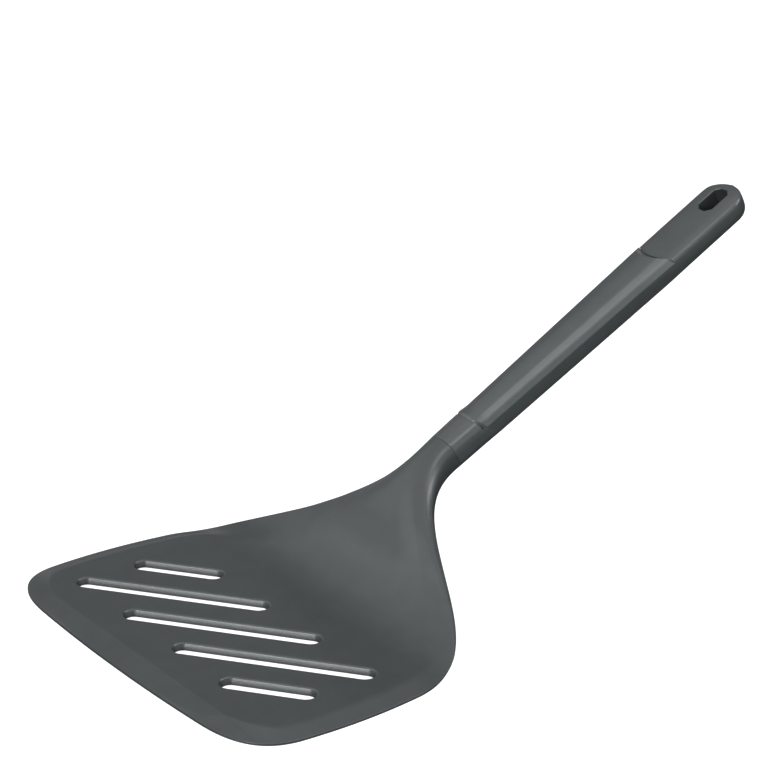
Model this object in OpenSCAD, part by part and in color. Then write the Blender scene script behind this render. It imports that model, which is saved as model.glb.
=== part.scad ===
// Wide slotted kitchen turner: moulded head with a cranked neck, handle and grip cover.
// Millimetres. X runs across the blade, Y from the front edge to the handle, Z up.
// The blade lies flat on z = 0. The sizes below are measured from the middle of its front edge,
// and the finished part has its origin on the flat land between that edge and the slots.

/* [Blade] */
// Half width that the side edges would reach at a square front corner
blade_front_half = 88.2; // [60:0.1:110]
// Half width at the rear shoulder
blade_rear_half = 86.1; // [55:0.1:110]
// Outward bow of each side edge
blade_side_bow = 4.7; // [0:0.1:10]
// Outward bow of the front edge
blade_front_bow = 4.1; // [0.5:0.1:10]
// Distance from the front edge to the shoulder
blade_length = 96.6; // [70:0.5:130]
// Distance from the front edge to the origin on the front land
origin_inset = 14; // [5:0.5:22]
// Thickness of the flat
blade_thickness = 3.2; // [2:0.1:5]
// Thickness left at the edge
edge_thickness = 1.0; // [0.6:0.1:2]
// Width of the sloped front edge
front_bevel = 10.4; // [5:0.1:18]
// Width of the sloped side edges
side_bevel = 8.0; // [3:0.1:14]
// Reach of the front corner along the front edge
corner_reach_x = 30; // [10:0.1:45]
// Reach of the front corner along the side edge
corner_reach_y = 22; // [10:0.1:40]
// Start of the shoulder curve ahead of the shoulder
shoulder_ahead = 15.6; // [5:0.1:30]
// End of the shoulder curve behind the shoulder
shoulder_behind = 11.6; // [5:0.1:25]
// Half width at the end of the shoulder curve
shoulder_exit_half = 75.5; // [50:0.1:100]

/* [Slots] */
// Width of each slot
slot_width = 7.3; // [4:0.1:12]
// Overall length of the three long slots
long_slot = 81.5; // [40:0.5:100]
// Overall length of the two short slots
short_slot = 37.6; // [20:0.5:60]
// Angle of the slots to the front edge in degrees
slot_angle = 37.2; // [20:0.1:60]
// Distance from the front edge to the middle of the slot field
slot_field_y = 49.5; // [40:0.1:60]
// Sideways step between the long slots
long_slot_step = 36.4; // [25:0.1:45]
// Sideways place of the short slots
short_slot_x = 53.9; // [45:0.1:65]
// Distance of the short slots from the middle line of the field
short_slot_shift = 14.2; // [5:0.1:25]
// Width of the softened slot rim on the upper face
slot_rim = 1.1; // [0:0.1:2]

/* [Ramp and neck] */
// Distance from the front edge to the start of the bend
bend_start = 88.6; // [75:0.1:100]
// Radius of the bend up from the blade
bend_radius = 54.2; // [25:0.1:90]
// Steepest angle of the ramp in degrees
ramp_angle = 47; // [35:0.5:65]
// Straight run between the two bends
ramp_run = 8.9; // [0:0.1:25]
// Radius of the bend back to the handle's pitch
crest_radius = 72.8; // [25:0.1:90]
// Straight run of the neck before the handle
neck_run = 11.9; // [5:0.1:40]
// Half width of the neck at the handle
neck_half = 7.85; // [6:0.05:14]
// Height of the neck at the handle
neck_height = 14.7; // [8:0.1:18]
// Length of the tang inside the handle
tang_length = 70; // [30:1:100]
// Width of the tang at the neck
tang_width = 11; // [6:0.5:14]
// Height of the tang
tang_height = 4.4; // [3:0.1:6]
// Drop of the tang below the handle's middle line
tang_drop = 2.2; // [0:0.1:4]

/* [Handle] */
// Angle of the handle to the table in degrees
handle_pitch = 27.95; // [15:0.05:40]
// Length from the seam to the hang end
handle_length = 175.6; // [120:0.1:220]
// Half width of the grip where its cover ends
grip_half = 10.9; // [8:0.1:14]
// Half width near the hang end
hang_half = 11.55; // [9:0.05:16]
// Depth of the grip below the middle line where its cover ends
belly_depth = 8.6; // [5:0.1:11]
// Depth of the hang end below the middle line
hang_depth = 7.9; // [4:0.1:11]
// Height of the flat at the hang end above the middle line
label_height = 4.3; // [3.2:0.1:6]
// Half width of the flat at the hang end
label_half = 9.85; // [7:0.05:13]
// Rise of that flat towards its middle
label_crown = 0.5; // [0.1:0.1:1.5]
// Width of the hang hole
hang_hole_width = 8.4; // [5:0.1:12]
// Length of the hang hole along the handle
hang_hole_length = 14.2; // [8:0.1:24]
// Distance from the hang end to the middle of the hang hole
hang_hole_inset = 12.0; // [9:0.1:24]

/* [Grip cover] */
// Height of the cover's seat above the middle line
seat_height = 1.5; // [0.8:0.1:3]
// Height of the cover along its middle
cover_height = 7.7; // [6:0.1:10]
// Height of the crests at the nose
crest_height_front = 6.3; // [4:0.1:8]
// Height of the crests at the round end
crest_height_rear = 7.0; // [4:0.1:9]
// Half width between the crests at the nose
crest_half_front = 5.0; // [2:0.1:7]
// Half width between the crests at the round end
crest_half_rear = 6.4; // [2:0.1:9]
// Outward fold halfway down each side
side_fold = 0.45; // [0.1:0.05:1]
// Step of the cover's sides above the collar
cover_raise = 0.4; // [0:0.1:1]
// Distance from the seam to the nose
cover_start = 13.7; // [8:0.1:30]
// Set-back of the nose at the sides of the neck
cover_nose_bow = 2.0; // [0.5:0.1:5]
// Distance from the seam to the foot of the hollow round end
cover_end = 124.5; // [90:0.5:140]
// Radius of the hollow round end at its foot
cover_end_radius = 20; // [12:0.5:40]
// Clearance around the tang and the cover
fit_gap = 0.2; // [0.1:0.05:0.4]

/* [Hidden] */
$fn = 48;

// Overrun of every cut past the face that it opens
cut_over = 2;
// Colours of the mouldings
head_colour = [0.29, 0.32, 0.33];
handle_colour = [0.36, 0.39, 0.40];
cover_colour = [0.38, 0.41, 0.42];

// Points on each stretch of the outline
front_steps = 7;
corner_steps = 14;
side_steps = 5;
shoulder_steps = 10;
flank_steps = 26;
round_steps = 4;
roof_steps = 2;

function mix(a, b, t) = a + (b - a) * t;
function clamp01(t) = max(0, min(1, t));
function ease(t) = clamp01(t) * clamp01(t) * (3 - 2 * clamp01(t));
function cubic(p, t) = pow(1 - t, 3) * p[0] + 3 * pow(1 - t, 2) * t * p[1]
    + 3 * (1 - t) * t * t * p[2] + pow(t, 3) * p[3];
function unit(v) = v / norm(v);
// How far a quarter-round end has come in at one place, from 0 to 1
function drawn_in(from_tip, radius) =
    1 - sqrt(max(0, 1 - pow(clamp01(1 - from_tip / radius), 2)));

// Where the line from a along u meets the line from b along v
function meet(a, u, b, v) =
    a + u * (((b - a)[0] * v[1] - (b - a)[1] * v[0]) / (u[0] * v[1] - u[1] * v[0]));

// Curve from a to b that leaves and arrives on straight tangents, with full share the sharpest
function fillet_curve(a, u, b, v, share, t) =
    let (corner = meet(a, u, b, v))
    cubic([a, mix(a, corner, share), mix(b, corner, share), b], t);

// Half outline of the head
side_along = function(y) clamp01((y - blade_front_bow) / (blade_length - blade_front_bow));
side_half = function(y) mix(blade_front_half, blade_rear_half, side_along(y))
    + 4 * blade_side_bow * side_along(y) * (1 - side_along(y));
side_slope = function(y) (blade_rear_half - blade_front_half
    + 4 * blade_side_bow * (1 - 2 * side_along(y))) / (blade_length - blade_front_bow);
front_y = function(x) blade_front_bow * pow(x / blade_front_half, 2);
front_slope = function(x) 2 * blade_front_bow * x / pow(blade_front_half, 2);

corner_share = 0.69;
shoulder_share = 0.53;
front_end_x = blade_front_half - corner_reach_x;
side_from_y = blade_front_bow + corner_reach_y;
side_to_y = blade_length - shoulder_ahead;
shoulder_end_y = blade_length + shoulder_behind;

// Underside line of the head: flat, bend, ramp, bend back, neck
bend_end_y = bend_start + bend_radius * sin(ramp_angle);
bend_end_z = bend_radius * (1 - cos(ramp_angle));
ramp_end_y = bend_end_y + ramp_run * cos(ramp_angle);
ramp_end_z = bend_end_z + ramp_run * sin(ramp_angle);
crest_end_y = ramp_end_y + crest_radius * (sin(ramp_angle) - sin(handle_pitch));
crest_end_z = ramp_end_z + crest_radius * (cos(handle_pitch) - cos(ramp_angle));
neck_end_y = crest_end_y + neck_run * cos(handle_pitch);
neck_end_z = crest_end_z + neck_run * sin(handle_pitch);
spine_angle = function(y)
    y <= bend_start ? 0
    : y < bend_end_y ? asin((y - bend_start) / bend_radius)
    : y < ramp_end_y ? ramp_angle
    : y < crest_end_y ? asin(sin(ramp_angle) - (y - ramp_end_y) / crest_radius)
    : handle_pitch;
spine_z = function(y)
    y <= bend_start ? 0
    : y < bend_end_y ? bend_radius * (1 - cos(spine_angle(y)))
    : y < ramp_end_y ? bend_end_z + (y - bend_end_y) * tan(ramp_angle)
    : y < crest_end_y ? ramp_end_z + crest_radius * (cos(spine_angle(y)) - cos(ramp_angle))
    : crest_end_z + (y - crest_end_y) * tan(handle_pitch);

// The rear flank runs from the shoulder to the neck
flank_lead_share = 0.62;
flank_tail_share = 0.51;
flank_waist_share = 0.61;
flank_run = neck_end_y - shoulder_end_y;
flank_dir = unit([-0.98, 1]);
flank_from = [shoulder_exit_half, shoulder_end_y];
flank_points = [
    flank_from,
    flank_from + flank_dir * flank_run * flank_lead_share,
    [neck_half * flank_waist_share, neck_end_y - flank_run * flank_tail_share],
    [neck_half, neck_end_y]
];

outline = concat(
    [for (i = [1 : front_steps])
        let (x = front_end_x * i / (front_steps + 1)) [x, front_y(x)]],
    [for (i = [0 : corner_steps])
        fillet_curve([front_end_x, front_y(front_end_x)], [1, front_slope(front_end_x)],
            [side_half(side_from_y), side_from_y], [side_slope(side_from_y), 1],
            corner_share, i / corner_steps)],
    [for (i = [1 : side_steps - 1])
        let (y = mix(side_from_y, side_to_y, i / side_steps)) [side_half(y), y]],
    [for (i = [0 : shoulder_steps - 1])
        fillet_curve([side_half(side_to_y), side_to_y], [side_slope(side_to_y), 1],
            flank_from, flank_dir, shoulder_share, i / shoulder_steps)],
    [for (i = [0 : flank_steps]) cubic(flank_points, i / flank_steps)]
);

// One corner of a section, from a sharp corner (crisp 1) to a round one (crisp 0).
// The start share sets the points off, so that the next corner never repeats the last point.
function soft_corner(before, at, after, reach, crisp, start) =
    let (
        a = at + unit(before - at) * min(reach, norm(before - at) / 2),
        b = at + unit(after - at) * min(reach, norm(after - at) / 2)
    )
    [for (i = [0 : round_steps - 1])
        let (
            t = (i + start) / round_steps,
            curve = (1 - t) * (1 - t) * a + 2 * (1 - t) * t * at + t * t * b,
            crease = t < 0.5 ? mix(a, at, 2 * t) : mix(at, b, 2 * t - 1)
        )
        mix(curve, crease, crisp)];

// The far corner across the middle line, drawn in so that a round corner stops short of the middle
across_share = 0.9;
function across(corner) = [-across_share * corner[0], corner[1]];

// Right half of a crowned top: a soft peak on the middle line, sloping to the last corner
function roof(corner, peak, reach) =
    let (a = [0, peak] + unit(corner - [0, peak]) * min(reach, norm(corner - [0, peak]) / 2))
    [for (i = [0 : roof_steps - 1])
        let (t = i / (2 * roof_steps))
        (1 - t) * (1 - t) * a + 2 * (1 - t) * t * [0, peak] + t * t * [-a[0], a[1]]];

// Closed section from its right half, given from the bottom to the top
function both_sides(half) =
    concat(half, [for (i = [len(half) - 1 : -1 : 0]) [-half[i][0], half[i][1]]]);

// Solid through a list of rings with equal numbers of points
module loft(rings) {
    n = len(rings[0]);
    m = len(rings);
    polyhedron(
        points = [for (ring = rings) each ring],
        faces = concat(
            [[for (j = [n - 1 : -1 : 0]) j]],
            [for (i = [0 : m - 2]) for (j = [0 : n - 1])
                let (k = (j + 1) % n, a = i * n, b = a + n)
                each [[a + j, a + k, b + j], [a + k, b + k, b + j]]],
            [[for (j = [0 : n - 1]) (m - 1) * n + j]]
        )
    );
}

// Section of the head at one point of its half outline
neck_edge_share = 0.71;
neck_bevel_share = 0.42;
swell_power = 1.5;
neck_crest_round = 4.2;
neck_belly_round = 6.5;
edge_round_share = 0.33;
edge_crisp_share = 0.7;
crisp_fade_share = 0.45;
round_fade_share = 0.71;
bevel_fade_share = 0.59;
bevel_limit_share = 0.8;
corner_blend = 14;
corner_blend_power = 2.5;
function head_section(x, y) =
    let (
        along = (y - bend_start) / (neck_end_y - bend_start),
        swell = ease(pow(clamp01(along), swell_power)),
        rounding = ease(along / round_fade_share),
        thick = mix(blade_thickness, neck_height, swell),
        edge = mix(edge_thickness, neck_height * neck_edge_share, swell),
        corner = corner_blend * pow(clamp01(1 - (y - front_bevel) / corner_blend), corner_blend_power),
        slope = mix(side_bevel, neck_half * neck_bevel_share, ease(along / bevel_fade_share)),
        bevel = min(slope + corner, bevel_limit_share * x),
        crisp = edge_crisp_share * (1 - ease(along / crisp_fade_share)),
        crest_reach = mix(edge_thickness * edge_round_share, neck_crest_round, rounding),
        belly_reach = mix(edge_thickness * edge_round_share, neck_belly_round, rounding),
        low = soft_corner(across([x, 0]), [x, 0], [x, edge], belly_reach, crisp, 0),
        mid = soft_corner([x, 0], [x, edge], [x - bevel, thick], crest_reach, crisp, 0.5),
        top = soft_corner([x, edge], [x - bevel, thick], across([x - bevel, thick]), crest_reach, crisp, 1)
    )
    both_sides(concat(low, mid, top));

function head_ring(x, y) =
    let (lean = spine_angle(y), z = spine_z(y))
    [for (p = head_section(x, y)) [p[0], y - p[1] * sin(lean), z + p[1] * cos(lean)]];

// Long hole with round ends and a sloped upper rim
module slot_cut(length) {
    reach = (length - slot_width) / 2;
    rim_top = blade_thickness + cut_over;
    half = slot_width / 2;
    flare = half + slot_rim + cut_over;
    for (side = [-1, 1]) {
        translate([side * reach, 0, -cut_over])
            cylinder(r = half, h = rim_top + cut_over);
        translate([side * reach, 0, blade_thickness - slot_rim])
            cylinder(r1 = half, r2 = flare, h = slot_rim + cut_over);
    }
    translate([-reach, 0, 0])
        rotate([90, 0, 90])
            linear_extrude(2 * reach)
                polygon([
                    [-half, -cut_over], [half, -cut_over],
                    [half, blade_thickness - slot_rim], [flare, rim_top],
                    [-flare, rim_top], [-half, blade_thickness - slot_rim]
                ]);
}

slot_places = [
    [0, 0, long_slot],
    [-long_slot_step, 0, long_slot],
    [long_slot_step, 0, long_slot],
    [-short_slot_x, short_slot_shift, short_slot],
    [short_slot_x, -short_slot_shift, short_slot]
];

// Everything inside runs along the handle: X across, Y away from the blade, Z off the crest
module along_handle() {
    translate([
        0,
        neck_end_y - neck_height / 2 * sin(handle_pitch),
        neck_end_z + neck_height / 2 * cos(handle_pitch)
    ])
        rotate([handle_pitch, 0, 0])
            children();
}

// Tapered tongue that carries the handle, with its clearance in the socket
tang_root = 1.5;
tang_tip_share = 0.72;
module tang(gap) {
    half = tang_width / 2 + gap;
    tip = tang_width / 2 * tang_tip_share + gap;
    translate([0, 0, -tang_drop - tang_height / 2 - gap])
        linear_extrude(tang_height + 2 * gap)
            polygon([
                [-half, -tang_root], [half, -tang_root],
                [tip, tang_length + gap], [-tip, tang_length + gap]
            ]);
}

module head() {
    color(head_colour) {
        difference() {
            loft([for (p = outline) head_ring(p[0], p[1])]);
            // sloped front edge
            rotate([90, 0, 90])
                linear_extrude(2 * (blade_front_half + blade_side_bow), center = true)
                    polygon([
                        [-cut_over, edge_thickness],
                        [0, edge_thickness],
                        [front_bevel, blade_thickness],
                        [front_bevel, blade_thickness + cut_over],
                        [-cut_over, blade_thickness + cut_over]
                    ]);
            for (place = slot_places)
                translate([place[0], slot_field_y + place[1], 0])
                    rotate(slot_angle)
                        slot_cut(place[2]);
        }
        along_handle()
            tang(0);
    }
}

// The grip widens evenly from the seam to the end of its cover, then eases into the hang end
hang_lead = 20;
hang_round = 10.2;
hang_round_share = 0.55;
function grip_along(s) = clamp01(s / cover_end);
function hang_along(s) = ease((s - cover_end + hang_lead) / (2 * hang_lead));
function handle_half(s) = mix(mix(neck_half, grip_half, grip_along(s)), hang_half, hang_along(s));

// Section of the body, oval at the collar and flat on top at the hang end
keel_share = 0.92;
collar_fade = 10;
seat_round = 0.8;
label_round = 3;
label_edge_share = 0.93;
collar_crown_share = 0.3;
crown_place_share = 0.15;
function body_section(s) =
    let (
        tip = drawn_in(handle_length - s, hang_round),
        shrink = mix(1, hang_round_share, tip),
        half = handle_half(s) * (1 - tip),
        under = ease((s - cover_start) / collar_fade),
        late = ease((s - cover_start) / (cover_end - hang_lead - cover_start)),
        belly = mix(mix(neck_height / 2, belly_depth, grip_along(s)), hang_depth, hang_along(s)) * shrink,
        top = mix(neck_height / 2, label_height, late) * shrink,
        ridge = mix(neck_height * (neck_edge_share - 0.5), seat_height, under) * shrink,
        crest = mix(half * (1 - neck_bevel_share), min(label_half, label_edge_share * half), late),
        keel = half * mix(1, keel_share, grip_along(s)),
        side_reach = mix(neck_crest_round, seat_round, under * (1 - hang_along(s))),
        crest_reach = mix(neck_crest_round, label_round, late),
        low = soft_corner(across([keel, -belly]), [keel, -belly], [half, ridge],
            mix(neck_belly_round, keel, grip_along(s)), 0, 0),
        mid = soft_corner([keel, -belly], [half, ridge], [crest, top], side_reach, 0, 0.5),
        high = soft_corner([half, ridge], [crest, top], across([crest, top]), crest_reach, 0, 0.5),
        crown = [crest * crown_place_share, top + label_crown * mix(collar_crown_share, 1, late) * shrink]
    )
    both_sides(concat(low, mid, high, [crown]));

// Section of the cover: flat seat, folded sides, crests and a crowned top
fold_round = 1.2;
crest_round = 0.9;
cover_peak_round = 3;
fold_place_share = 0.5;
function cover_section(s) =
    let (
        edge = [handle_half(s) + cover_raise * (1 - grip_along(s)), seat_height],
        crest = [mix(crest_half_front, crest_half_rear, grip_along(s)),
            mix(crest_height_front, crest_height_rear, grip_along(s))],
        run = crest - edge,
        fold = mix(edge, crest, fold_place_share) + side_fold * unit([run[1], -run[0]])
    )
    both_sides(concat(
        [edge],
        soft_corner(edge, fold, crest, fold_round, 0, 0.5),
        soft_corner(fold, crest, [0, cover_height], crest_round, 0, 0.5),
        roof(crest, cover_height, cover_peak_round)
    ));

collar_stations = 5;
body_stations = 28;
body_from = cover_start + cover_nose_bow * 1.5;
end_station_shares = [0.15, 0.3, 0.45, 0.6, 0.72, 0.82, 0.9, 0.96, 0.99];
body_places = concat(
    [for (i = [0 : collar_stations - 1]) cover_start * i / collar_stations],
    [for (i = [0 : body_stations - 1])
        mix(body_from, handle_length - hang_round, i / (body_stations - 1))],
    [for (share = end_station_shares) handle_length - hang_round * (1 - share)]
);

cover_stations = 20;
cover_run_out = cover_end + hang_lead;
cover_places = [for (i = [0 : cover_stations])
    mix(cover_start - cut_over, cover_run_out, i / cover_stations)];

// Plan shape of the cover: a nearly straight nose with set-back sides, up to past its end
nose_steps = 15;
nose_power = 3;
module cover_plan(gap) {
    width = hang_half + cut_over;
    polygon(concat(
        [for (i = [0 : nose_steps])
            let (place = 2 * i / nose_steps - 1, x = width * place)
            [x, cover_start + gap + cover_nose_bow * pow(abs(x) / neck_half, nose_power)]],
        [[width, cover_end + cover_end_radius], [-width, cover_end + cover_end_radius]]
    ));
}

// The space over the seat that the cover takes. Above the hang end's flat its end wall leans back.
wall_lean = 1.4;
module cover_room(gap) {
    wall_top = cover_height + cut_over;
    wall_foot = label_height + 2 * label_crown;
    difference() {
        translate([0, 0, seat_height])
            linear_extrude(wall_top - seat_height)
                cover_plan(gap);
        translate([0, cover_end + cover_end_radius, 0]) {
            cylinder(r = cover_end_radius + gap, h = wall_top + cut_over, $fn = 96);
            translate([0, 0, wall_foot])
                cylinder(r1 = cover_end_radius + gap, r2 = cover_end_radius + gap + wall_lean * wall_top,
                    h = wall_top, $fn = 96);
        }
    }
}

// Long six-sided hole with two straight sides
hang_shoulder_share = 0.5;
hang_point_share = 0.45;
module hang_hole() {
    half = hang_hole_width / 2;
    reach = hang_hole_length / 2;
    shoulder = reach - half * hang_shoulder_share;
    tip = half * hang_point_share;
    translate([0, handle_length - hang_hole_inset, -hang_depth - cut_over])
        linear_extrude(hang_depth + cover_height + 2 * cut_over)
            polygon([
                [half, -shoulder], [half, shoulder], [tip, reach], [-tip, reach],
                [-half, shoulder], [-half, -shoulder], [-tip, -reach], [tip, -reach]
            ]);
}

module handle_body() {
    color(handle_colour)
        along_handle()
            difference() {
                loft([for (s = body_places) [for (p = body_section(s)) [p[0], s, p[1]]]]);
                tang(fit_gap);
                cover_room(0);
                hang_hole();
            }
}

module grip_cover() {
    color(cover_colour)
        along_handle()
            intersection() {
                loft([for (s = cover_places) [for (p = cover_section(s)) [p[0], s, p[1]]]]);
                cover_room(fit_gap);
            }
}

module from_origin() {
    translate([0, -origin_inset, 0])
        children();
}

from_origin() head();
from_origin() handle_body();
from_origin() grip_cover();
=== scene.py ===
import math

import bmesh
import bpy
from mathutils import Matrix, Vector


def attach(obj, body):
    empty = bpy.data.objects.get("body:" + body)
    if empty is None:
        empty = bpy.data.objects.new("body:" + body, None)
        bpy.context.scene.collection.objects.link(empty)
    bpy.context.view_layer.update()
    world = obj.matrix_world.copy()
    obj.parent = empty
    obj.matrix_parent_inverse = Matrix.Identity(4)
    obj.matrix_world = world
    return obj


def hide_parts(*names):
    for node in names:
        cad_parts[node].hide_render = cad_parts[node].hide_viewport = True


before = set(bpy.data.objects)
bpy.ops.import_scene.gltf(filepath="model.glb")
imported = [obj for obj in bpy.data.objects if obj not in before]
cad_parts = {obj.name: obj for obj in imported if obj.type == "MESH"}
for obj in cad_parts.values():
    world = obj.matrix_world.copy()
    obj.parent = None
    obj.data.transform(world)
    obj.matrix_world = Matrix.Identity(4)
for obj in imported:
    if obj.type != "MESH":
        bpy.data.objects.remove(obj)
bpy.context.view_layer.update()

# Head: the blade, ramp and neck are one injection moulding in glass-filled nylon.
# The blade is a 3.2 mm plate with sloped edges, it bends up at 47 degrees behind the slots
# and draws in to an oval neck, whose tang is pushed into the handle.
MM = 0.001
# Sizes are in millimetres and start at the blade's front edge. The frame's origin is further back.
ORIGIN_INSET = 14.0
BLADE_FRONT_HALF = 88.2
BLADE_REAR_HALF = 86.1
BLADE_SIDE_BOW = 4.68
BLADE_FRONT_BOW = 4.1
BLADE_LENGTH = 96.6
BLADE_THICKNESS = 3.2
EDGE_THICKNESS = 1.0
FRONT_BEVEL = 10.4
FRONT_CREASE = 0.12
FRONT_STEPS = (-1.2, -0.7, -0.35, 0, 0.35, 0.7, 1.2, 2.0)
FRONT_FIRST_SHARE = 0.125
SIDE_BEVEL = 8.0
BEVEL_LIMIT_SHARE = 0.8
CORNER_REACH_X = 30.0
CORNER_REACH_Y = 22.0
CORNER_SHARE = 0.69
CORNER_BLEND = 14.0
CORNER_BLEND_POWER = 2.5
SHOULDER_AHEAD = 15.6
SHOULDER_BEHIND = 11.6
SHOULDER_EXIT_HALF = 75.5
SHOULDER_SHARE = 0.53
FLANK_SLOPE = -0.98
FLANK_LEAD_SHARE = 0.62
FLANK_TAIL_SHARE = 0.51
FLANK_WAIST_SHARE = 0.61
BEND_START = 88.6
BEND_RADIUS = 54.2
RAMP_ANGLE = math.radians(47.0)
RAMP_RUN = 8.9
CREST_RADIUS = 72.8
NECK_RUN = 11.9
NECK_HALF = 7.85
NECK_HEIGHT = 14.7
NECK_EDGE_SHARE = 0.71
NECK_BEVEL_SHARE = 0.42
NECK_CREST_ROUND = 4.2
NECK_BELLY_ROUND = 6.5
EDGE_ROUND = 0.45
BEVEL_ROUND = 2.0
ROUND_FADE = 0.71
CRISP_FADE = 0.45
CRISP_SHARE = 0.5
SWELL_POWER = 1.5
RAMP_BEVEL = 30.0
RAMP_BEVEL_FADE = 0.4
RAMP_CREASE = 10.0
RAMP_CREASE_FADE = 0.25
NECK_BEVEL_FROM = 0.2
NECK_BEVEL_FADE = 0.75
NECK_CREASE_FROM = 0.4
NECK_CREASE_FADE = 0.5
TANG_LENGTH = 70.0
TANG_HALF = 5.5
TANG_TIP_SHARE = 0.72
TANG_HALF_HEIGHT = 2.2
TANG_DROP = 2.2
HANDLE_PITCH = math.radians(27.95)
SEAM_ROUND = 0.3
SEAM_CURVE = ((1, 0), (0.6, 0.08), (0.25, 0.35), (0, 1))
MIDDLE_SHARE = 0.9
SLOT_WIDTH = 7.3
SLOT_ANGLE = math.radians(37.2)
SLOT_FIELD_Y = 49.5
SLOT_RIM = 1.0
SLOT_FOOT = 0.3
SLOT_DRAFT = math.radians(17.0)
SLOTS = [(0, 0, 81.5), (-36.4, 0, 81.5), (36.4, 0, 81.5), (-53.9, 14.2, 37.6), (53.9, -14.2, 37.6)]


def mix(a, b, t):
    return a + (b - a) * t


def clamp01(t):
    return max(0.0, min(1.0, t))


def ease(t):
    t = clamp01(t)
    return t * t * (3 - 2 * t)


def cubic(points, t):
    a, b, c, d = (Vector(p) for p in points)
    u = 1 - t
    return u ** 3 * a + 3 * u * u * t * b + 3 * u * t * t * c + t ** 3 * d


def fillet_curve(a, u, b, v, share, t):
    # leaves a along u and reaches b along v, as one smooth bend
    a, u, b, v = (Vector(p) for p in (a, u, b, v))
    gap = b - a
    corner = a + u * ((gap.x * v.y - gap.y * v.x) / (u.x * v.y - u.y * v.x))
    return cubic((a, mix(a, corner, share), mix(b, corner, share), b), t)


def side_along(y):
    return clamp01((y - BLADE_FRONT_BOW) / (BLADE_LENGTH - BLADE_FRONT_BOW))


def side_half(y):
    q = side_along(y)
    return mix(BLADE_FRONT_HALF, BLADE_REAR_HALF, q) + 4 * BLADE_SIDE_BOW * q * (1 - q)


def side_slope(y):
    rise = BLADE_REAR_HALF - BLADE_FRONT_HALF + 4 * BLADE_SIDE_BOW * (1 - 2 * side_along(y))
    return rise / (BLADE_LENGTH - BLADE_FRONT_BOW)


# The ends of the underside's four stretches behind the flat blade, as distances back and heights.
BEND_END = (
    BEND_START + BEND_RADIUS * math.sin(RAMP_ANGLE),
    BEND_RADIUS * (1 - math.cos(RAMP_ANGLE)),
)
RAMP_END = (
    BEND_END[0] + RAMP_RUN * math.cos(RAMP_ANGLE),
    BEND_END[1] + RAMP_RUN * math.sin(RAMP_ANGLE),
)
CREST_END = (
    RAMP_END[0] + CREST_RADIUS * (math.sin(RAMP_ANGLE) - math.sin(HANDLE_PITCH)),
    RAMP_END[1] + CREST_RADIUS * (math.cos(HANDLE_PITCH) - math.cos(RAMP_ANGLE)),
)
NECK_END = (
    CREST_END[0] + NECK_RUN * math.cos(HANDLE_PITCH),
    CREST_END[1] + NECK_RUN * math.sin(HANDLE_PITCH),
)


def spine(y):
    # height and lean of the underside
    if y <= BEND_START:
        return 0.0, 0.0
    if y < BEND_END[0]:
        lean = math.asin((y - BEND_START) / BEND_RADIUS)
        return BEND_RADIUS * (1 - math.cos(lean)), lean
    if y < RAMP_END[0]:
        return BEND_END[1] + (y - BEND_END[0]) * math.tan(RAMP_ANGLE), RAMP_ANGLE
    if y < CREST_END[0]:
        lean = math.asin(math.sin(RAMP_ANGLE) - (y - RAMP_END[0]) / CREST_RADIUS)
        return RAMP_END[1] + CREST_RADIUS * (math.cos(lean) - math.cos(RAMP_ANGLE)), lean
    return CREST_END[1] + (y - CREST_END[0]) * math.tan(HANDLE_PITCH), HANDLE_PITCH


def head_outline(front=16, corner=40, side=12, shoulder=24, flank=72):
    # right half of the plan shape, from the front edge to the neck
    front_x = BLADE_FRONT_HALF - CORNER_REACH_X
    slope = 2 * BLADE_FRONT_BOW * front_x / BLADE_FRONT_HALF ** 2
    side_from = BLADE_FRONT_BOW + CORNER_REACH_Y
    side_to = BLADE_LENGTH - SHOULDER_AHEAD
    exit_y = BLADE_LENGTH + SHOULDER_BEHIND
    run = NECK_END[0] - exit_y
    heading = Vector((FLANK_SLOPE, 1)).normalized()
    exit_point = Vector((SHOULDER_EXIT_HALF, exit_y))
    flank_points = (
        exit_point,
        exit_point + heading * run * FLANK_LEAD_SHARE,
        (NECK_HALF * FLANK_WAIST_SHARE, NECK_END[0] - run * FLANK_TAIL_SHARE),
        (NECK_HALF, NECK_END[0]),
    )
    points = []
    for i in range(front):
        x = front_x * mix(FRONT_FIRST_SHARE, 1, i / front)
        points.append((x, BLADE_FRONT_BOW * (x / BLADE_FRONT_HALF) ** 2))
    start = (front_x, BLADE_FRONT_BOW * (front_x / BLADE_FRONT_HALF) ** 2)
    for i in range(corner + 1):
        points.append(fillet_curve(start, (1, slope), (side_half(side_from), side_from),
                                   (side_slope(side_from), 1), CORNER_SHARE, i / corner))
    for i in range(1, side):
        y = mix(side_from, side_to, i / side)
        points.append((side_half(y), y))
    for i in range(shoulder):
        points.append(fillet_curve((side_half(side_to), side_to), (side_slope(side_to), 1),
                                   exit_point, heading, SHOULDER_SHARE, i / shoulder))
    points += [cubic(flank_points, i / flank) for i in range(flank + 1)]
    return [(p[0], p[1]) for p in points]


def soft_corner(before, at, after, reach, crisp, steps, start):
    # one corner of a section, rounded where crisp is 0 and sharp where it is 1
    before, at, after = Vector(before), Vector(at), Vector(after)
    a = at + (before - at).normalized() * min(reach, (before - at).length / 2)
    b = at + (after - at).normalized() * min(reach, (after - at).length / 2)
    points = []
    for i in range(steps):
        t = (i + start) / steps
        curve = (1 - t) ** 2 * a + 2 * (1 - t) * t * at + t * t * b
        crease = mix(a, at, 2 * t) if t < 0.5 else mix(at, b, 2 * t - 1)
        points.append(mix(curve, crease, crisp))
    return points


def both_sides(half):
    return [(p[0], p[1]) for p in half] + [(-p[0], p[1]) for p in reversed(half)]


def soft_min(a, b, width):
    # the lower of two heights, with a rounded change from one to the other
    h = clamp01(0.5 + (b - a) / (2 * width))
    return mix(b, a, h) - width * h * (1 - h) / 2


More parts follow.
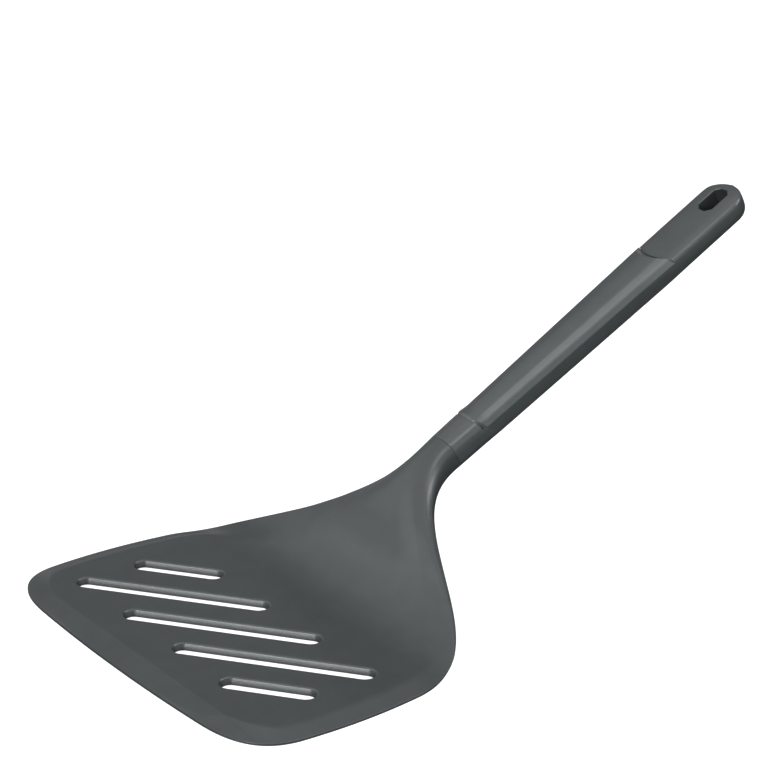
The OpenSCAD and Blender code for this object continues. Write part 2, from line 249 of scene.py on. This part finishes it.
def across(corner):
    # the far corner across the middle line, drawn in so that a round corner stops short of it
    return (-MIDDLE_SHARE * corner[0], corner[1])


def head_section(x, y, steps=8):
    # the section at a distance back where the plan shape is x wide to each side
    along = (y - BEND_START) / (NECK_END[0] - BEND_START)
    swell = ease(clamp01(along) ** SWELL_POWER)
    rounding = ease(along / ROUND_FADE)
    thick = mix(BLADE_THICKNESS, NECK_HEIGHT, swell)
    edge = mix(EDGE_THICKNESS, NECK_HEIGHT * NECK_EDGE_SHARE, swell)
    corner = CORNER_BLEND * clamp01(1 - (y - FRONT_BEVEL) / CORNER_BLEND) ** CORNER_BLEND_POWER
    slope = mix(SIDE_BEVEL, RAMP_BEVEL, ease(along / RAMP_BEVEL_FADE))
    slope = mix(slope, NECK_HALF * NECK_BEVEL_SHARE, ease((along - NECK_BEVEL_FROM) / NECK_BEVEL_FADE))
    crease = mix(BEVEL_ROUND, RAMP_CREASE, ease(along / RAMP_CREASE_FADE))
    crease = mix(crease, NECK_CREST_ROUND, ease((along - NECK_CREASE_FROM) / NECK_CREASE_FADE))
    crest = x - min(slope + corner, BEVEL_LIMIT_SHARE * x)
    crisp = CRISP_SHARE * (1 - ease(along / CRISP_FADE))
    low_round = mix(EDGE_ROUND, NECK_BELLY_ROUND, rounding)
    mid_round = mix(EDGE_ROUND, NECK_CREST_ROUND, rounding)
    low = soft_corner(across((x, 0)), (x, 0), (x, edge), low_round, crisp, steps, 0)
    mid = soft_corner((x, 0), (x, edge), (crest, thick), mid_round, crisp, steps, 0.5)
    top = soft_corner((x, edge), (crest, thick), across((crest, thick)), crease, 0, steps, 1)
    half = low + mid + top
    if y < FRONT_BEVEL + FRONT_STEPS[-1]:
        front = EDGE_THICKNESS + (BLADE_THICKNESS - EDGE_THICKNESS) * y / FRONT_BEVEL
        half = [Vector((p.x, soft_min(p.y, front, FRONT_CREASE))) for p in half]
    return both_sides(half)


def head_ring(x, y):
    z, lean = spine(y)
    ring = []
    for side, up in head_section(x, y):
        ring.append(Vector((side, y - up * math.sin(lean), z + up * math.cos(lean))))
    return ring


HANDLE_ORIGIN = Vector((
    0,
    NECK_END[0] - NECK_HEIGHT / 2 * math.sin(HANDLE_PITCH),
    NECK_END[1] + NECK_HEIGHT / 2 * math.cos(HANDLE_PITCH),
))


def on_handle(side, along, up):
    # a point given across the handle, along it from the seam and up from its middle line
    return HANDLE_ORIGIN + Vector((
        side,
        along * math.cos(HANDLE_PITCH) - up * math.sin(HANDLE_PITCH),
        along * math.sin(HANDLE_PITCH) + up * math.cos(HANDLE_PITCH),
    ))


def handle_ring(outline, along, inset=0.0):
    # a ring across the handle. An inset draws it in on all sides, as far as it does at the neck.
    ring = []
    for side, up in outline:
        ring.append(on_handle(side * (1 - inset / NECK_HALF), along, up * (1 - 2 * inset / NECK_HEIGHT)))
    return ring


def tongue_ring(along, spread, grown_from):
    # a ring of the tang, with one point for each point of the ring that it grows from
    half = mix(TANG_HALF, TANG_HALF * TANG_TIP_SHARE, clamp01(along / TANG_LENGTH)) + spread
    rise = TANG_HALF_HEIGHT + spread
    ring = []
    for side, up in grown_from:
        up = up + TANG_DROP
        size = max(abs(side) / half, abs(up) / rise)
        ring.append(on_handle(side / size, along, up / size - TANG_DROP))
    return ring


def mesh_object(name, rings, bowed_start=False):
    # a closed skin through rings of equal length, in millimetres from the front edge.
    # A bowed first ring is closed by strips from side to side, and a level one by one face.
    bm = bmesh.new()
    shift = Vector((0, -ORIGIN_INSET, 0))
    rows = [[bm.verts.new((p + shift) * MM) for p in ring] for ring in rings]
    count = len(rows[0])
    for a, b in zip(rows, rows[1:]):
        for j in range(count):
            k = (j + 1) % count
            bm.faces.new((a[j], a[k], b[k], b[j]))
    if bowed_start:
        first = rows[0]
        for j in range(count // 2 - 1):
            bm.faces.new((first[j], first[j + 1], first[count - 2 - j], first[count - 1 - j]))
    else:
        bm.faces.new(list(reversed(rows[0])))
    bm.faces.new(rows[-1])
    bmesh.ops.recalc_face_normals(bm, faces=bm.faces)
    mesh = bpy.data.meshes.new(name)
    bm.to_mesh(mesh)
    bm.free()
    piece = bpy.data.objects.new(name, mesh)
    bpy.context.scene.collection.objects.link(piece)
    return piece


def round_outline(corners, radius, steps=14):
    # points and outward directions around a convex shape with corners rounded to the radius
    points = []
    count = len(corners)
    for i, corner in enumerate(corners):
        before = Vector(corner) - Vector(corners[i - 1])
        after = Vector(corners[(i + 1) % count]) - Vector(corner)
        first = math.atan2(-before.x, before.y)
        turn = (math.atan2(-after.x, after.y) - first) % (2 * math.pi)
        for k in range(steps + 1):
            angle = first + turn * k / steps
            out = Vector((math.cos(angle), math.sin(angle)))
            points.append((Vector(corner) + out * radius, out))
    return points


def hole_cutter(name, outline, low, high, foot, rim, draft, place, foot_steps=5, rim_steps=9):
    # fills a hole from low to high: a small round foot, a wall that leans out, a round upper rim
    rise = high - rim * (1 - math.sin(draft)) - low - foot
    reach = rim * math.cos(draft) + rise * math.tan(draft)
    profile = [(foot, low - foot)]
    profile += [(foot * (1 - math.sin(a)), low + foot * (1 - math.cos(a)))
                for a in (math.pi / 2 * i / foot_steps for i in range(foot_steps + 1))]
    profile += [(reach - rim * math.cos(a), high - rim * (1 - math.sin(a)))
                for a in (mix(draft, math.pi / 2, i / rim_steps) for i in range(rim_steps + 1))]
    profile += [(reach, high + rim)]
    rings = [[place(p.x + out.x * spread, p.y + out.y * spread, up) for p, out in outline]
             for spread, up in profile]
    return mesh_object(name, rings)


def cut_away(piece, cutters):
    # the cutters are taken out of the piece's mesh and then deleted
    for cutter in cutters:
        cut = piece.modifiers.new("cut", "BOOLEAN")
        cut.operation = "DIFFERENCE"
        cut.solver = "EXACT"
        cut.object = cutter
    settle(piece)
    for cutter in cutters:
        bpy.data.objects.remove(cutter)


def settle(piece):
    # modifiers become the mesh itself
    graph = bpy.context.evaluated_depsgraph_get()
    mesh = bpy.data.meshes.new_from_object(piece.evaluated_get(graph))
    piece.modifiers.clear()
    piece.data = mesh


def smooth(piece, angle):
    # soft shading, kept crisp over edges that turn more than the angle, flats kept flat
    piece.data.shade_smooth()
    piece.data.set_sharp_from_angle(angle=math.radians(angle))
    even = piece.modifiers.new("flat faces lead", "WEIGHTED_NORMAL")
    even.keep_sharp = True
    settle(piece)


def half_at(outline, y):
    # the half width of the plan shape at a distance back
    for a, b in zip(outline, outline[1:]):
        if a[1] <= y <= b[1]:
            return mix(a[0], b[0], (y - a[1]) / (b[1] - a[1]))
    return outline[0][0]


outline = head_outline()
crease_stations = [(half_at(outline, FRONT_BEVEL + step), FRONT_BEVEL + step) for step in FRONT_STEPS]
stations = sorted(outline + crease_stations, key=lambda p: p[1])
rings = [head_ring(x, y) for x, y in stations[:-1]]
seam_section = [(x, up - NECK_HEIGHT / 2) for x, up in head_section(NECK_HALF, NECK_END[0])]
for away, drawn in SEAM_CURVE:
    rings.append(handle_ring(seam_section, -away * SEAM_ROUND, drawn * SEAM_ROUND))
rings.append(tongue_ring(0, 0, seam_section))
rings.append(tongue_ring(TANG_LENGTH, 0, seam_section))
head = mesh_object("turner_head", rings)

# Each slot is given by how far its middle lies to the right and back, and by its length.
cutters = []
for place_x, place_y, length in SLOTS:
    reach = (length - SLOT_WIDTH) / 2
    turn = Matrix.Rotation(SLOT_ANGLE, 2)
    middle = Vector((place_x, SLOT_FIELD_Y + place_y))

    def in_blade(x, y, z, turn=turn, middle=middle):
        flat = turn @ Vector((x, y)) + middle
        return Vector((flat.x, flat.y, z))

    slot = round_outline([(-reach, 0), (reach, 0)], SLOT_WIDTH / 2, steps=20)
    cutters.append(hole_cutter("slot_cutter", slot, 0, BLADE_THICKNESS, SLOT_FOOT, SLOT_RIM, SLOT_DRAFT,
                               in_blade))
cut_away(head, cutters)
smooth(head, angle=40)


def srgb(code):
    # a hex colour as the linear values that the shader takes
    parts = [int(code[i:i + 2], 16) / 255 for i in (1, 3, 5)]
    return [c / 12.92 if c <= 0.04045 else ((c + 0.055) / 1.055) ** 2.4 for c in parts] + [1]


def add(tree, kind, settings=None, inputs=None):
    # one node, with its settings and with values or links on its inputs
    node = tree.nodes.new(kind)
    for key, value in (settings or {}).items():
        setattr(node, key, value)
    for key, value in (inputs or {}).items():
        if isinstance(value, bpy.types.NodeSocket):
            tree.links.new(value, node.inputs[key])
        else:
            node.inputs[key].default_value = value
    return node


# Glass-filled nylon 66, moulded in a spark-eroded tool: dark grey, faintly green, with a fine
# even grain that spreads the light, so it looks satin. The glass shows as a slight mottle.
# The real grain is about 0.1 mm wide, and it is drawn at 0.8 mm so that it shows.
MOTTLE_WIDTH = 9.0
GRAIN_WIDTH = 0.8
GRAIN_DEPTH = 0.03
nylon = bpy.data.materials.new("moulded_nylon_66")
nylon.use_nodes = True
tree = nylon.node_tree
tree.nodes.clear()
where = add(tree, "ShaderNodeTexCoord").outputs["Object"]
mottle = add(tree, "ShaderNodeTexNoise", inputs={
    "Vector": where, "Scale": 1 / (MOTTLE_WIDTH * MM), "Detail": 4, "Roughness": 0.6})
grain = add(tree, "ShaderNodeTexNoise", inputs={
    "Vector": where, "Scale": 1 / (GRAIN_WIDTH * MM), "Detail": 3, "Roughness": 0.65})
tone = add(tree, "ShaderNodeValToRGB", inputs={"Fac": mottle.outputs["Fac"]})
tone.color_ramp.elements[0].position = 0.3
tone.color_ramp.elements[0].color = srgb("#2d3132")
tone.color_ramp.elements[1].position = 0.7
tone.color_ramp.elements[1].color = srgb("#313536")
satin = add(tree, "ShaderNodeMapRange", inputs={
    "Value": grain.outputs["Fac"], "To Min": 0.33, "To Max": 0.41})
relief = add(tree, "ShaderNodeBump", inputs={
    "Height": grain.outputs["Fac"], "Strength": 0.16, "Distance": GRAIN_DEPTH * MM})
surface = add(tree, "ShaderNodeBsdfPrincipled", inputs={
    "Base Color": tone.outputs["Color"], "Roughness": satin.outputs["Result"], "IOR": 1.53,
    "Normal": relief.outputs["Normal"]})
add(tree, "ShaderNodeOutputMaterial", inputs={"Surface": surface.outputs["BSDF"]})
head.data.materials.clear()
head.data.materials.append(nylon)
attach(head, "root")
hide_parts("head")

# Handle body: one moulding in polypropylene that is pushed onto the tang. Its round collar
# meets the neck at a fine seam, its top has a flat seat for the cover, and the flat hang end
# has a long six-sided hole for a hook.
HANDLE_LENGTH = 175.6
GRIP_HALF = 10.9
HANG_HALF = 11.55
SEAT_HEIGHT = 1.5
BELLY_DEPTH = 8.6
HANG_DEPTH = 7.87
LABEL_HEIGHT = 4.3
LABEL_HALF = 9.85
LABEL_CROWN = 0.5
CREST_LIMIT_SHARE = 0.93
PEAK_SHARE = 0.9
PEAK_REACH_SHARE = 0.95
COVER_START = 13.7
COVER_NOSE_BOW = 2.0
COVER_END = 124.5
COVER_END_RADIUS = 20.0
FIT_GAP = 0.2
HANG_LEAD = 20.0
HANG_ROUND = 10.2
HANG_ROUND_SHARE = 0.55
KEEL_SHARE = 0.92
COLLAR_FADE = 10.0
SEAT_ROUND = 0.8
LABEL_ROUND = 3.0
HANG_HOLE_HALF = 4.2
HANG_HOLE_LENGTH = 14.2
HANG_HOLE_INSET = 12.0
HANG_HOLE_ROUND = 0.6
HANG_TIP_SHARE = 0.45
HANG_SHOULDER_SHARE = 0.5
HANG_RIM = 0.6
HANG_CUT_SHARE = 0.97
HANG_CUT_ABOVE = 0.3
GRIP_FIRST = 1.2
GRIP_STEPS = 96
END_SHARES = (
    0.08, 0.16, 0.25, 0.34, 0.43, 0.52, 0.6, 0.68,
    0.75, 0.81, 0.86, 0.905, 0.94, 0.965, 0.983, 0.988,
)
ROOM_SPARE = 2.0
ROOM_STEPS = 41
ROOM_TOP = 12.0


def drawn_in(s):
    # how far the round hang end has come in, from 0 to 1
    inside = clamp01((s - HANDLE_LENGTH + HANG_ROUND) / HANG_ROUND)
    return 1 - math.sqrt(max(0.0, 1 - inside * inside))


def grip_along(s):
    # from 0 at the seam to 1 at the end of the cover
    return clamp01(s / COVER_END)


def hang_along(s):
    # from 0 on the grip to 1 on the hang end
    return ease((s - COVER_END + HANG_LEAD) / (2 * HANG_LEAD))


def handle_half(s):
    return mix(mix(NECK_HALF, GRIP_HALF, grip_along(s)), HANG_HALF, hang_along(s))


def crowned_top(before, corner, rise, reach, steps):
    # right half of a top that rises from a rounded corner to a soft peak on the middle line
    corner, peak = Vector(corner), Vector((0, corner[1] + rise))
    beyond = peak + (peak - corner) * PEAK_SHARE
    points = soft_corner(before, corner, beyond, reach, 0, steps, 0.5)
    span = (peak - corner).length
    start = peak + (corner - peak) / span * PEAK_SHARE * (span - min(reach, PEAK_REACH_SHARE * span))
    for i in range(steps):
        t = i / (2 * steps)
        points.append((1 - t) ** 2 * start + 2 * (1 - t) * t * peak + t * t * Vector((-start.x, start.y)))
    return points


def body_section(s, steps=8):
    # right half of the section, oval at the collar and flat on top at the hang end
    tip = drawn_in(s)
    shrink = mix(1, HANG_ROUND_SHARE, tip)
    half = handle_half(s) * (1 - tip)
    grow = grip_along(s)
    under = ease((s - COVER_START) / COLLAR_FADE)
    late = ease((s - COVER_START) / (COVER_END - HANG_LEAD - COVER_START))
    belly = mix(mix(NECK_HEIGHT / 2, BELLY_DEPTH, grow), HANG_DEPTH, hang_along(s)) * shrink
    top = mix(NECK_HEIGHT / 2, LABEL_HEIGHT, late) * shrink
    ridge = mix(NECK_HEIGHT * (NECK_EDGE_SHARE - 0.5), SEAT_HEIGHT, under) * shrink
    crest = mix(half * (1 - NECK_BEVEL_SHARE), min(LABEL_HALF, CREST_LIMIT_SHARE * half), late)
    keel = half * mix(1, KEEL_SHARE, grow)
    low_round = mix(NECK_BELLY_ROUND, keel, grow)
    side_round = mix(NECK_CREST_ROUND, SEAT_ROUND, under * (1 - hang_along(s)))
    top_round = mix(NECK_CREST_ROUND, LABEL_ROUND, late)
    low = soft_corner(across((keel, -belly)), (keel, -belly), (half, ridge), low_round, 0, steps, 0)
    mid = soft_corner((keel, -belly), (half, ridge), (crest, top), side_round, 0, steps, 0.5)
    high = crowned_top((half, ridge), (crest, top), LABEL_CROWN * late * shrink, top_round, steps)
    return low + mid + high


# The skin runs from the bottom of the socket out to the seam and on to the round hang end.
seam = both_sides(body_section(0))
body_rings = [
    tongue_ring(TANG_LENGTH + FIT_GAP, FIT_GAP, seam),
    tongue_ring(0, FIT_GAP, seam),
]
for away, drawn in reversed(SEAM_CURVE):
    body_rings.append(handle_ring(seam, away * SEAM_ROUND, drawn * SEAM_ROUND))
grip_run = HANDLE_LENGTH - HANG_ROUND - GRIP_FIRST
grip_stations = [GRIP_FIRST + i * grip_run / GRIP_STEPS for i in range(GRIP_STEPS + 1)]
grip_stations += [HANDLE_LENGTH - HANG_ROUND * (1 - share) for share in END_SHARES]
body_rings += [handle_ring(both_sides(body_section(s)), s) for s in grip_stations]
handle_body = mesh_object("handle_body_moulding", body_rings)


def nose(side):
    # where the cover's nose starts, bowed back at the sides
    return COVER_START + COVER_NOSE_BOW * (abs(side) / NECK_HALF) ** 3


def round_end(side):
    # where the cover's room ends, as an arc that bulges towards the grip
    return COVER_END + COVER_END_RADIUS - math.sqrt(COVER_END_RADIUS * COVER_END_RADIUS - side * side)


wide = HANG_HALF + ROOM_SPARE
sides = [mix(-wide, wide, i / ROOM_STEPS) for i in range(ROOM_STEPS + 1)]
room_outline = [(side, nose(side)) for side in sides] + [(side, round_end(side)) for side in sides[::-1]]
cover_room = mesh_object("cover_room", [
    [on_handle(side, along, up) for side, along in room_outline] for up in (SEAT_HEIGHT, ROOM_TOP)])

# The hang hole is a long hexagon whose two end tips are cut off.
hang_tip = HANG_HOLE_HALF * HANG_TIP_SHARE
hang_reach = HANG_HOLE_LENGTH / 2
hang_shoulder = hang_reach - HANG_HOLE_HALF * HANG_SHOULDER_SHARE
hang_corners = [(HANG_HOLE_HALF, -hang_shoulder), (HANG_HOLE_HALF, hang_shoulder), (hang_tip, hang_reach),
                (-hang_tip, hang_reach), (-HANG_HOLE_HALF, hang_shoulder), (-HANG_HOLE_HALF, -hang_shoulder),
                (-hang_tip, -hang_reach), (hang_tip, -hang_reach)]
hang_corners = [(x * (1 - HANG_HOLE_ROUND / HANG_HOLE_HALF), y * (1 - HANG_HOLE_ROUND / hang_reach))
                for x, y in hang_corners]
hang_cutter = hole_cutter(
    "hang_cutter", round_outline(hang_corners, HANG_HOLE_ROUND, steps=5),
    -HANG_DEPTH * HANG_CUT_SHARE, LABEL_HEIGHT + HANG_CUT_ABOVE, HANG_RIM, HANG_RIM, 0,
    lambda x, y, up: on_handle(x, y + HANDLE_LENGTH - HANG_HOLE_INSET, up))
cut_away(handle_body, [cover_room, hang_cutter])
smooth(handle_body, angle=35)


def refinished(source, name, dark, light, least, most):
    # a copy of a plastic in other greys and with another range of roughness
    plastic = source.copy()
    plastic.name = name
    nodes = plastic.node_tree.nodes
    nodes["Color Ramp"].color_ramp.elements[0].color = srgb(dark)
    nodes["Color Ramp"].color_ramp.elements[1].color = srgb(light)
    nodes["Map Range"].inputs["To Min"].default_value = least
    nodes["Map Range"].inputs["To Max"].default_value = most
    return plastic


# Polypropylene moulded in a finer tool than the head: the same grey, a little lighter and with
# more sheen, so the edges of the grip catch a clear streak of light.
propylene = refinished(nylon, "moulded_polypropylene", "#363a3b", "#3a3e3f", 0.28, 0.35)
propylene.node_tree.nodes["Principled BSDF"].inputs["IOR"].default_value = 1.49
handle_body.data.materials.clear()
handle_body.data.materials.append(propylene)

# The same polypropylene, left rough by the core pin that makes the hang hole, so the wall of the hole has
# hardly any sheen. Its much darker grey is painted shade, standing in for the shade deep in the narrow hole.
# Its rims are as the outside.
HOLE_MARGIN = 0.1
WALL_LOW_SHARE = 0.9
WALL_TOP_INSET = 0.3
# the near-black greys below are painted shade for the inside of the hang hole
hole_wall_painted_shade = refinished(propylene, "rough_polypropylene_painted_shade", "#191b1c", "#1c1e1f", 0.7, 0.8)
handle_body.data.materials.append(hole_wall_painted_shade)

# Only the faces on the wall of the hang hole take the painted shade.
for face in handle_body.data.polygons:
    place = face.center / MM + Vector((0, ORIGIN_INSET, 0)) - HANDLE_ORIGIN
    along = place.y * math.cos(HANDLE_PITCH) + place.z * math.sin(HANDLE_PITCH)
    height = place.z * math.cos(HANDLE_PITCH) - place.y * math.sin(HANDLE_PITCH)
    beside = abs(along - HANDLE_LENGTH + HANG_HOLE_INSET)
    in_hole = abs(place.x) < HANG_HOLE_HALF + HOLE_MARGIN and beside < hang_reach + HOLE_MARGIN
    if in_hole and -HANG_DEPTH * WALL_LOW_SHARE < height < LABEL_HEIGHT - WALL_TOP_INSET:
        face.material_index = 1
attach(handle_body, "root")
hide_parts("handle_body")

# Grip cover: a moulded cap over the top of the grip down to the side ridges. Its nose ramps up
# from the collar, its sides are folded lengthwise, and it ends in a hollow arc at the hang flat.
COVER_HEIGHT = 7.7
CREST_FRONT = Vector((4.6, 6.4))
CREST_REAR = Vector((6.4, 7.0))
SIDE_FOLD = 0.45
FOLD_ROUND = 1.2
CREST_ROUND = 0.9
PEAK_ROUND = 3.0
COVER_RAISE = 0.4
COVER_EDGE = 0.35
NOSE_RAMP = 1.3
NOSE_LIFT = 0.4
NOSE_SINK = 0.3
NOSE_BOW_FADE = 0.4
NOSE_STEPS = [0, 0.3, 0.6, 0.9, 1.2, 1.5, 1.8, 2.1, 2.5, 3, 3.6, 4.2, 5, 6, 7, 8, 9, 10]
FACET_LEAD = 7.0
COVER_STEP = 3
COVER_STEPS = 40
POST_BELOW = -2.0
POST_SIDES = 240
FUNNEL_FROM = 0.2
FUNNEL_ABOVE = 3.0
REAR_RIM_REACH = 8.0
RIM_ANGLE = math.radians(30)
NEARLY_PARALLEL = 1e-9
END_SLACK = 1e-6


def cover_section(s, steps=6):
    # right half of the cover's section, from its underside to the middle of its top
    rim = Vector((handle_half(s) + COVER_RAISE * (1 - grip_along(s)), SEAT_HEIGHT))
    crest = mix(CREST_FRONT, CREST_REAR, grip_along(s))
    run = crest - rim
    fold = mix(rim, crest, 0.5) + SIDE_FOLD * Vector((run.y, -run.x)).normalized()
    points = [Vector((0.5 * rim.x, SEAT_HEIGHT))]
    points += soft_corner((0, SEAT_HEIGHT), rim, fold, COVER_EDGE, 0, steps, 0.5)
    points += soft_corner(rim, fold, crest, FOLD_ROUND, 0, steps, 0.5)
    rise = COVER_HEIGHT - crest.y
    points += soft_corner(fold, crest, (0, COVER_HEIGHT), CREST_ROUND, 0, steps, 0.5)
    start = Vector((0, COVER_HEIGHT)) + Vector((crest.x, -rise)).normalized() * PEAK_ROUND
    for i in range(steps):
        t = i / (2 * steps)
        points.append((1 - t) ** 2 * start + 2 * (1 - t) * t * Vector((0, COVER_HEIGHT))
                      + t * t * Vector((-start.x, start.y)))
    return points


def reach_along(section, heading):
    # how far the section lies from the middle of the seat in one direction
    ring = both_sides(section)
    best = 0.0
    for a, b in zip(ring, ring[1:] + ring[:1]):
        a, b = Vector(a) - Vector((0, SEAT_HEIGHT)), Vector(b) - Vector((0, SEAT_HEIGHT))
        step = b - a
        cross = heading.x * step.y - heading.y * step.x
        if abs(cross) < NEARLY_PARALLEL:
            continue
        far = (a.x * step.y - a.y * step.x) / cross
        place = (a.x * heading.y - a.y * heading.x) / cross
        if far > 0 and -END_SLACK <= place <= 1 + END_SLACK:
            best = max(best, far)
    return best


def cover_ring(beyond):
    # a ring that lies a distance behind the nose and follows its bow, which evens out further back
    even = 1 - ease(beyond / (COVER_END - COVER_START) / NOSE_BOW_FADE)
    ring = []
    base = cover_section(COVER_START + beyond)
    for j, point in enumerate(base):
        s = COVER_START + FIT_GAP + beyond + (nose(point.x) - COVER_START) * even
        point = cover_section(s)[j]
        out = point - Vector((0, SEAT_HEIGHT))
        if j > 0 and beyond < FACET_LEAD:
            heading = out.normalized()
            collar = reach_along(body_section(s), heading)
            raised = collar + mix(-NOSE_SINK, NOSE_LIFT, clamp01(beyond / NOSE_RAMP))
            out = heading * mix(raised, out.length, ease(beyond / FACET_LEAD))
        ring.append((out.x, s, out.y + SEAT_HEIGHT))
    left = [(-x, s, up) for x, s, up in reversed(ring)]
    return [on_handle(*p) for p in ring + left]


cover_places = NOSE_STEPS + [NOSE_STEPS[-1] + COVER_STEP * i for i in range(1, COVER_STEPS + 1)]
cover = mesh_object("grip_cover_moulding", [cover_ring(beyond) for beyond in cover_places], bowed_start=True)

# The hollow end is cut by a round post that widens by 45 degrees above the hang end's flat.
funnel_foot = LABEL_HEIGHT + FUNNEL_FROM
funnel_top = COVER_HEIGHT + FUNNEL_ABOVE
hollow = []
for up, spread in ((POST_BELOW, 0), (funnel_foot, 0), (funnel_top, funnel_top - funnel_foot)):
    radius = COVER_END_RADIUS + FIT_GAP + spread
    hollow.append([on_handle(radius * math.cos(a), COVER_END + COVER_END_RADIUS + radius * math.sin(a), up)
                   for a in (math.tau * i / POST_SIDES for i in range(POST_SIDES))])
cut_away(cover, [mesh_object("hollow_cutter", hollow)])


def soften(piece, width, from_place):
    # the sharp rims behind a place along the handle are rounded
    bm = bmesh.new()
    bm.from_mesh(piece.data)
    limit = (on_handle(0, from_place, 0).y - ORIGIN_INSET) * MM
    rims = [e for e in bm.edges if len(e.link_faces) == 2 and e.calc_face_angle() > RIM_ANGLE
            and min(v.co.y for v in e.verts) > limit]
    bmesh.ops.bevel(bm, geom=rims, offset=width * MM, offset_type="OFFSET", segments=3, profile=0.5,
                    affect="EDGES", clamp_overlap=True)
    bm.to_mesh(piece.data)
    bm.free()


soften(cover, COVER_EDGE, COVER_END - REAR_RIM_REACH)
smooth(cover, angle=40)
cover.data.materials.clear()
cover.data.materials.append(propylene)
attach(cover, "root")
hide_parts("grip_cover")

# Studio: a plain floor of matt white paper that runs out of view, just clear of the blade.
# It takes shadows but throws no light back, so the turner's underside stays dark.
FLOOR_HALF = 6
FLOOR_DROP = 0.2
corners = [(-FLOOR_HALF, -FLOOR_HALF, 0), (FLOOR_HALF, -FLOOR_HALF, 0),
           (FLOOR_HALF, FLOOR_HALF, 0), (-FLOOR_HALF, FLOOR_HALF, 0)]
floor_mesh = bpy.data.meshes.new("floor")
floor_mesh.from_pydata(corners, [], [(0, 1, 2, 3)])
floor = bpy.data.objects.new("floor", floor_mesh)
floor.location.z = -FLOOR_DROP * MM
floor.visible_diffuse = False
floor.visible_glossy = False
bpy.context.scene.collection.objects.link(floor)
paper = bpy.data.materials.new("matt_white_paper")
paper.use_nodes = True
sheet = paper.node_tree.nodes["Principled BSDF"]
sheet.inputs["Base Color"].default_value = srgb("#9a9a9a")
sheet.inputs["Roughness"].default_value = 0.9
sheet.inputs["Specular IOR Level"].default_value = 0.0
sheet.inputs["Emission Color"].default_value = srgb("#ffffff")
sheet.inputs["Emission Strength"].default_value = 0.9
floor.data.materials.append(paper)

# The room around is dark low down and has a pale band at the horizon and a soft light overhead,
# given as places from straight down (0) to straight up (1) and the grey at each.
ROOM = [(0, 0), (0.52, 0.02), (0.57, 1.0), (0.645, 0), (0.80, 0.17), (1.0, 0.9)]
world = bpy.data.worlds.new("studio")
bpy.context.scene.world = world
world.use_nodes = True
tree = world.node_tree
heading = add(tree, "ShaderNodeTexCoord").outputs["Generated"]
height = add(tree, "ShaderNodeSeparateXYZ", inputs={"Vector": heading}).outputs["Z"]
share = add(tree, "ShaderNodeMapRange", inputs={"Value": height, "From Min": -1, "From Max": 1})
sky = add(tree, "ShaderNodeValToRGB", inputs={"Fac": share.outputs["Result"]})
while len(sky.color_ramp.elements) < len(ROOM):
    sky.color_ramp.elements.new(0.5)
for element, (place, grey) in zip(sky.color_ramp.elements, ROOM):
    element.position = place
    element.color = (grey, grey, grey, 1)
tree.links.new(sky.outputs["Color"], tree.nodes["Background"].inputs["Color"])
tree.nodes["Background"].inputs["Strength"].default_value = 1.28

# Soft panels stand around the turner, each with its place and size in metres and its watts.
PANEL_AIM = Vector((0, 0.14, 0.05))


def panel(name, place, size, power, seen=True):
    # a panel that faces the turner. One that isn't seen lights it but leaves no glare on it.
    lamp = bpy.data.lights.new(name, "AREA")
    lamp.shape = "RECTANGLE"
    lamp.size, lamp.size_y = size
    lamp.energy = power
    holder = bpy.data.objects.new(name, lamp)
    holder.location = place
    holder.visible_glossy = seen
    holder.rotation_euler = (PANEL_AIM - Vector(place)).to_track_quat("-Z", "Y").to_euler()
    bpy.context.scene.collection.objects.link(holder)


panel("right_softbox", (1.03, 0.14, 1.18), (0.6, 0.6), 5.3)
panel("front_softbox", (0.9, -1.3, 0.7), (0.9, 0.9), 26, False)
panel("front_edge_light", (0.58, -1.38, 0.4), (0.6, 0.6), 20)
panel("back_left_fill", (-1.0, 1.3, 0.3), (0.8, 0.8), 14, False)
panel("left_panel", (-1.08, -0.41, 0.93), (1.3, 0.7), 1.9)
panel("left_low_panel", (-1.05, -0.72, 0.72), (0.7, 0.5), 1.0)
panel("front_left_panel", (-0.45, -1.2, 0.9), (0.8, 0.8), 4.5)
panel("right_back_panel", (0.9, 1.2, 0.9), (0.8, 0.8), 14.5)
panel("right_low_panel", (1.3, 0.45, 0.37), (0.5, 0.5), 0.8)

# Camera: a 136 mm lens from the front right, 22 degrees above the table, which gives the
# photograph's angle. It looks at a point a little above the ramp.
AZIMUTH = math.radians(53.86)
ELEVATION = math.radians(22.01)
DISTANCE = 1.16376
TARGET = Vector((0, 0.12964 - ORIGIN_INSET * MM, 0.08696))
right = Vector((math.cos(AZIMUTH), math.sin(AZIMUTH), 0))
back = Vector((
    math.sin(AZIMUTH) * math.cos(ELEVATION),
    -math.cos(AZIMUTH) * math.cos(ELEVATION),
    math.sin(ELEVATION),
))
up = back.cross(right)
lens = bpy.data.cameras.new("camera")
lens.lens = 136.03
lens.sensor_width = 36
camera = bpy.data.objects.new("camera", lens)
camera.matrix_world = Matrix((
    (right.x, up.x, back.x, TARGET.x + DISTANCE * back.x),
    (right.y, up.y, back.y, TARGET.y + DISTANCE * back.y),
    (right.z, up.z, back.z, TARGET.z + DISTANCE * back.z),
    (0, 0, 0, 1),
))
bpy.context.scene.collection.objects.link(camera)
bpy.context.scene.camera = camera
bpy.context.scene.view_settings.view_transform = "Standard"
